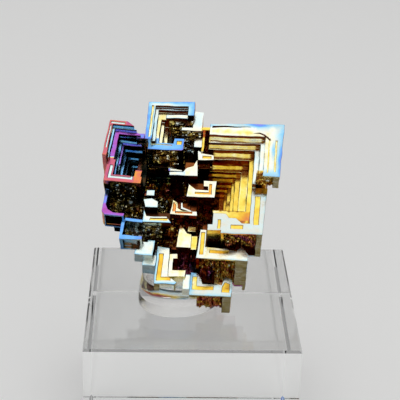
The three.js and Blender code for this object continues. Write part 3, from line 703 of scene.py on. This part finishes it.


# ---------------------------------------------------------------- the rough growth

# The rough growth that lines the hollows. Each row holds a name, whether it lies in the left-hand crystal's axes,
# the corner where it starts, the axis that its length and its width run along, its length and width, its tallest
# rise, the half-sizes of its blocks along both, how many blocks it has, its film, its painted shade and how cold that
# is.
U, V, W = np.eye(3)
GROWTHS = [
    ("centre_growth", False, (-11, -3, -15.4), U, V, (12.2, 16.8), 4.4, (0.12, 0.75), (0.12, 0.75), 900,
     1.26, 0.60, 0.06),
    ("foot_growth", False, (-3.4, -8.2, -14.7), U, V, (6.6, 7.4), 1.2, (0.06, 0.16), (0.4, 2.2), 260,
     1.44, 0.66, 0.0),
    ("lower_block_growth", False, (4.5, -1.55, -12.2), U, W, (5.9, 7.9), 1.5, (0.10, 0.5), (0.10, 0.6), 420,
     1.26, 0.62, 0.0),
    ("third_plate_growth", False, (0.5, -5.35, -20), U, W, (6.5, 11.7), 1.3, (0.06, 0.16), (0.5, 2.4), 320,
     1.18, 0.55, 0.0),
    ("fourth_plate_growth", False, (0.5, -10.35, -20), U, W, (4.7, 6.7), 1.2, (0.06, 0.25), (0.4, 2.0), 160,
     1.26, 0.60, 0.0),
    ("rim_growth", False, (9.3, 6.35, -4.3), U, W, (3.1, 4.0), 0.9, (0.10, 0.5), (0.10, 0.5), 90, 1.14, 0.75, 0.0),
    ("bar_growth", False, (-10.4, 12.15, -14.6), U, W, (6.6, 12.8), 1.1, (0.10, 0.7), (0.10, 0.5), 420,
     1.16, 0.94, 0.6),
    ("top_pit_growth", False, (-7.0, 17.25, -11), U, W, (4.9, 9.2), 1.0, (0.10, 0.5), (0.10, 0.5), 260,
     1.12, 0.90, 0.6),
    ("side_growth", False, (-4.5, 15.05, -9), U, W, (3.5, 7.3), 0.6, (0.10, 0.4), (0.10, 0.4), 150,
     1.12, 0.90, 0.6),
    ("wall_growth", False, (-1.2, 10.2, -6.1), U, V, (2.1, 7.2), 0.8, (0.08, 0.3), (0.10, 0.5), 160,
     1.18, 0.90, 0.0),
    ("west_wall_growth", True, (-2.6, -1.6, -9), U, W, (5.1, 7.1), 0.7, (0.06, 0.3), (0.3, 1.4), 200,
     1.10, 0.94, 1.0),
    ("west_nook_growth", True, (-2.6, -6.9, -8.7), U, V, (4.7, 4.4), 2.2, (0.12, 0.6), (0.12, 0.6), 200,
     1.10, 0.93, 0.9),
    ("west_shelf_growth", True, (0.9, -9.4, -9.6), U, V, (7.0, 8.4), 1.8, (0.12, 0.6), (0.12, 0.6), 420,
     1.12, 0.92, 0.8),
    ("west_foot_growth", True, (1.2, -10.4, -9.1), U, V, (3.9, 2.9), 1.4, (0.12, 0.5), (0.12, 0.5), 120,
     1.08, 0.90, 0.8),
]


FIRST_SEED = 100  # each row's seed is one more than the last
GROWTH_ROUGHER = 0.05


def blocky_rise(a, b, length, width, tallest, reach_a, reach_b, count, seed):
    """A skyline: many small rectangles of seeded place and size are piled up, then pressed under the tallest rise."""
    rng = np.random.default_rng(seed)
    rise = np.zeros(a.shape)
    for _ in range(count):
        middle_a, middle_b = rng.uniform(0, length), rng.uniform(0, width)
        half_a, half_b = rng.uniform(*reach_a), rng.uniform(*reach_b)
        rise += rng.uniform(0.3, 1.0) * ((np.abs(a - middle_a) < half_a) & (np.abs(b - middle_b) < half_b))
    return tallest * rise / (rise + 1.6)


def growth_mesh(name, is_west, origin, along, across, size, rise, step, back):
    """A height field over a rectangle, closed by a skirt round its border and one flat back face."""
    origin = np.asarray(origin, float)
    a = np.linspace(0, size[0], max(2, int(size[0] / step)))
    b = np.linspace(0, size[1], max(2, int(size[1] / step)))
    out = np.cross(along, across)
    grid_a, grid_b = np.meshgrid(a, b, indexing="ij")
    height = rise(grid_a, grid_b)
    points = origin + grid_a[..., None] * along + grid_b[..., None] * across + height[..., None] * out
    n, m = len(a), len(b)
    index = np.arange(n * m).reshape(n, m)
    quads = np.stack([index[:-1, :-1], index[1:, :-1], index[1:, 1:], index[:-1, 1:]], -1).reshape(-1, 4)
    ring = np.concatenate([index[:-1, 0], index[-1, :-1], index[:0:-1, -1], index[0, :0:-1]])
    foot = n * m + np.arange(len(ring))
    flat = origin + (grid_a[..., None] * along + grid_b[..., None] * across - back * out)
    skirt = np.stack([ring, foot, np.roll(foot, -1), np.roll(ring, -1)], -1)
    q = np.concatenate([points.reshape(-1, 3), flat.reshape(-1, 3)[ring]])
    if is_west:
        q = from_west(q)
    return mesh_from_arrays(name, from_crystal(q), quads, skirt, foot[None, ::-1]), q


class CRYSTAL_OT_growth(bpy.types.Operator):
    """The rough, blocky growth that lines the hollows between the hoppers"""

    bl_idname = "crystal.make_growth"
    bl_label = "Rough growth"

    def execute(self, context):
        settings = context.scene.growth_settings
        crystal = context.scene.crystal_settings
        material = film_material("Rough growth", crystal, crystal.rough + GROWTH_ROUGHER)
        step, back = settings.step / MM, settings.back / MM
        for seed, row in enumerate(GROWTHS, start=FIRST_SEED):
            name, is_west, origin, along, across, size, tallest, reach_a, reach_b, count, film, painted_shade, cold = row

            def rise(a, b):
                return blocky_rise(a, b, *size, tallest, reach_a, reach_b, count, seed)

            mesh, q = growth_mesh(name, is_west, origin, along, across, size, rise, step, back)
            corners, normals = coat_mesh(mesh, q)
            # Painted glints: up-facing facets where a ripple runs high lose most of the painted shade and get a paler
            # film.
            glint = smooth(ripple(corners, 1.1, seed), 0.15, 0.45) * (normals[:, 2] > 0.5)
            set_corner_floats(mesh, "film", film + 0.12 * ripple(corners, 2.5, seed + 50) - 0.12 * glint)
            set_corner_floats(mesh, "painted_shade", painted_shade * (1 - 0.12 * ripple(corners, 1.7, seed + 30) ** 2 - 0.7 * glint))
            set_corner_floats(mesh, "cold", cold + 0.25 * ripple(corners, 4, seed + 70))
            piece = add_piece(name, mesh, material, False)
            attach(piece, "root")
        return {"FINISHED"}


# ---------------------------------------------------------------- the block and the adhesive

ACRYLIC_IOR = 1.49
ACRYLIC_TINT = (0.985, 0.99, 0.988)
ADHESIVE_IOR = 1.47
ADHESIVE_TINT = (0.995, 0.985, 0.975)


def clear_material(name, ior, tint, smudge, smudge_scale):
    """Clear plastic: its roughness rises a little in soft smudges, and a faint bump keeps it from looking perfect."""
    material, shader, link = new_material(name)
    shader.inputs["Transmission Weight"].default_value = 1.0
    shader.inputs["IOR"].default_value = ior
    shader.inputs["Base Color"].default_value = (*tint, 1.0)
    place = add_node(material, "ShaderNodeTexCoord")
    haze = add_node(material, "ShaderNodeTexNoise", {"Scale": smudge_scale, "Detail": 3.0})
    strength = add_node(material, "ShaderNodeMapRange", {"From Min": 0.4, "From Max": 0.8, "To Max": smudge})
    bump = add_node(material, "ShaderNodeBump", {"Strength": SMUDGE_BUMP, "Distance": SMUDGE_DEPTH})
    link(place.outputs["Object"], haze.inputs["Vector"])
    link(haze.outputs["Fac"], strength.inputs["Value"])
    link(strength.outputs["Result"], shader.inputs["Roughness"])
    link(haze.outputs["Fac"], bump.inputs["Height"])
    link(bump.outputs["Normal"], shader.inputs["Normal"])
    return material


class CRYSTAL_OT_block(bpy.types.Operator):
    """The clear acrylic block"""

    bl_idname = "crystal.make_block"
    bl_label = "Acrylic block"

    def execute(self, context):
        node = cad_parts["acrylic_block"]
        node.data.materials.clear()
        node.data.materials.append(clear_material("Clear acrylic", ACRYLIC_IOR, ACRYLIC_TINT, 0.05, 160.0))
        return {"FINISHED"}


def mound_surface(settings, rings=40, sides=96):
    """A fat domed drop: radius and height follow a superellipse, and its foot wanders a little round the circle."""
    low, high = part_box("adhesive_mound")
    centre = (low + high) / 2
    reach, height = (high.x - low.x) / 2 - settings.mound_inset, high.z - low.z
    foot_z = low.z + settings.mound_lift
    t = np.linspace(0, math.pi / 2, rings)[:, None]
    a = np.linspace(0, 2 * math.pi, sides, endpoint=False)[None, :]
    wander = 1 + 0.03 * np.sin(2 * a + 0.7) + 0.018 * np.sin(3 * a + 2.1)
    radius = reach * np.cos(t) ** settings.mound_fullness * wander / 1.05
    rise = (height - settings.mound_lift) * np.sin(t)
    x = centre.x + radius * np.cos(a)
    y = centre.y + radius * np.sin(a)
    z = foot_z + rise + 0 * a
    top = np.stack([x, y, z], -1)[:-1].reshape(-1, 3)
    apex = np.array([[centre.x, centre.y, high.z]])
    under = np.array([[centre.x, centre.y, foot_z]])
    ring = np.arange(rings - 2)[:, None] * sides
    i = np.arange(sides)[None, :]
    j = (i + 1) % sides
    quads = np.stack([ring + i, ring + j, ring + sides + j, ring + sides + i], -1).reshape(-1, 4)
    last = (rings - 2) * sides
    i, j = i[0], j[0]
    cap = np.stack([last + i, last + j, np.full(sides, len(top))], -1)
    foot = np.stack([j, i, np.full(sides, len(top) + 1)], -1)
    return mesh_from_arrays("adhesive_mound_surface", np.concatenate([top, apex, under]), quads, cap, foot)


class CRYSTAL_OT_adhesive(bpy.types.Operator):
    """The mound of clear adhesive"""

    bl_idname = "crystal.make_adhesive"
    bl_label = "Adhesive"

    def execute(self, context):
        material = clear_material("Clear adhesive", ADHESIVE_IOR, ADHESIVE_TINT, 0.04, 300.0)
        piece = add_piece("adhesive_drop", mound_surface(context.scene.adhesive_settings), material)
        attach(piece, "root")
        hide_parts("adhesive_mound")
        return {"FINISHED"}


# ---------------------------------------------------------------- the stage

CAMERA_AT = (-0.00643, -0.19137, 0.13685)
CAMERA_PITCH = 0.4461  # radians below level
CAMERA_HEADING = 0.0399  # radians from +Y towards +X
CAMERA_ROLL = 0.0301
CAMERA_LENS = 106.0
FLOOR_ROUGHNESS = 0.9


class CRYSTAL_OT_stage(bpy.types.Operator):
    """The pale floor that curves up into a backdrop, the soft lights and the camera"""

    bl_idname = "crystal.make_stage"
    bl_label = "Stage"

    def execute(self, context):
        settings = context.scene.stage_settings
        self.make_floor(settings)
        self.make_lights(context, settings)
        self.make_camera(context)
        context.scene.view_settings.view_transform = "Standard"
        return {"FINISHED"}

    def make_floor(self, settings):
        """A sheet swept in X along a level line that turns up through a quarter circle."""
        near, depth, height, radius, half, drop = -0.9, 0.35, 0.9, 0.3, 1.2, 0.0001
        angles = np.linspace(0, math.pi / 2, 17)
        profile = [(near, -drop), (depth, -drop)]
        profile += [(depth + radius * math.sin(a), -drop + radius * (1 - math.cos(a))) for a in angles[1:]]
        profile.append((depth + radius, height))
        y, z = np.array(profile).T
        left = np.stack([np.full_like(y, -half), y, z], 1)
        right = left * (-1, 1, 1)
        n = len(y)
        index = np.arange(n - 1)
        faces = np.stack([index, index + n, index + n + 1, index + 1], 1)
        mesh = mesh_from_arrays("studio_floor", np.concatenate([left, right]), faces)
        material, shader, _ = new_material("Pale floor")
        shader.inputs["Base Color"].default_value = (*settings.floor_colour, 1.0)
        shader.inputs["Roughness"].default_value = FLOOR_ROUGHNESS
        shader.inputs["Emission Color"].default_value = (*settings.floor_colour, 1.0)
        shader.inputs["Emission Strength"].default_value = settings.floor_glow
        add_piece("studio_floor", mesh, material)

    def make_lights(self, context, settings):
        """Even white light from all round, and two softboxes."""
        world = bpy.data.worlds.new("Studio")
        world.use_nodes = True
        background = world.node_tree.nodes["Background"]
        background.inputs["Strength"].default_value = settings.world_light
        background.inputs["Color"].default_value = (1.0, 1.0, 1.0, 1.0)
        context.scene.world = world
        self.make_softbox(context, "overhead_softbox", (0.5, 0.5), settings.overhead_power, (0, 0, 0.5), (0, 0, 0))
        self.make_softbox(context, "front_softbox", (0.9, 0.5), settings.front_power, (0, -0.8, 0.42),
                          (math.radians(65), 0, 0))

    def make_softbox(self, context, name, size, power, place, turn):
        """One large, soft, rectangular light."""
        light = bpy.data.lights.new(name, "AREA")
        light.shape = "RECTANGLE"
        light.size, light.size_y = size
        light.energy = power
        softbox = bpy.data.objects.new(name, light)
        softbox.location = place
        softbox.rotation_euler = turn
        context.scene.collection.objects.link(softbox)

    def make_camera(self, context):
        """A long lens looking down on the crystal from in front."""
        pitch, heading, roll = CAMERA_PITCH, CAMERA_HEADING, CAMERA_ROLL
        forward = Vector((math.sin(heading) * math.cos(pitch), math.cos(heading) * math.cos(pitch), -math.sin(pitch)))
        level = Vector((math.cos(heading), -math.sin(heading), 0))
        above = level.cross(forward)
        right = math.cos(roll) * level + math.sin(roll) * above
        up = math.cos(roll) * above - math.sin(roll) * level
        data = bpy.data.cameras.new("camera")
        data.lens = CAMERA_LENS
        camera = bpy.data.objects.new("camera", data)
        columns = (right, up, -forward, Vector(CAMERA_AT))
        camera.matrix_world = Matrix((*zip(*columns), (0, 0, 0, 1)))
        context.scene.collection.objects.link(camera)
        context.scene.camera = camera


# ---------------------------------------------------------------- add-on


class CRYSTAL_PT_panel(bpy.types.Panel):
    """Lists the settings and the steps"""

    bl_label = "Hopper crystal"
    bl_idname = "CRYSTAL_PT_panel"
    bl_space_type = "VIEW_3D"
    bl_region_type = "UI"
    bl_category = "Crystal"

    def draw(self, context):
        for settings, group in SETTINGS.items():
            for name in group.__annotations__:
                self.layout.prop(getattr(context.scene, settings), name)
        for operator in OPERATORS:
            self.layout.operator(operator.bl_idname)


OPERATORS = (CRYSTAL_OT_body, CRYSTAL_OT_growth, CRYSTAL_OT_adhesive, CRYSTAL_OT_block, CRYSTAL_OT_stage)
SETTINGS = {
    "crystal_settings": CrystalSettings,
    "growth_settings": GrowthSettings,
    "adhesive_settings": AdhesiveSettings,
    "stage_settings": StageSettings,
}
CLASSES = (*SETTINGS.values(), *OPERATORS, CRYSTAL_PT_panel)


def register():
    """Registers the classes and puts each group of settings on the scene."""
    for cls in CLASSES:
        bpy.utils.register_class(cls)
    for name, group in SETTINGS.items():
        setattr(bpy.types.Scene, name, PointerProperty(type=group))


def unregister():
    """Undoes register."""
    for name in SETTINGS:
        delattr(bpy.types.Scene, name)
    for cls in reversed(CLASSES):
        bpy.utils.unregister_class(cls)


def main():
    """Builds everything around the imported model."""
    register()
    bpy.ops.crystal.make_body()
    bpy.ops.crystal.make_growth()
    bpy.ops.crystal.make_adhesive()
    bpy.ops.crystal.make_block()
    bpy.ops.crystal.make_stage()


if __name__ == "__main__":
    main()
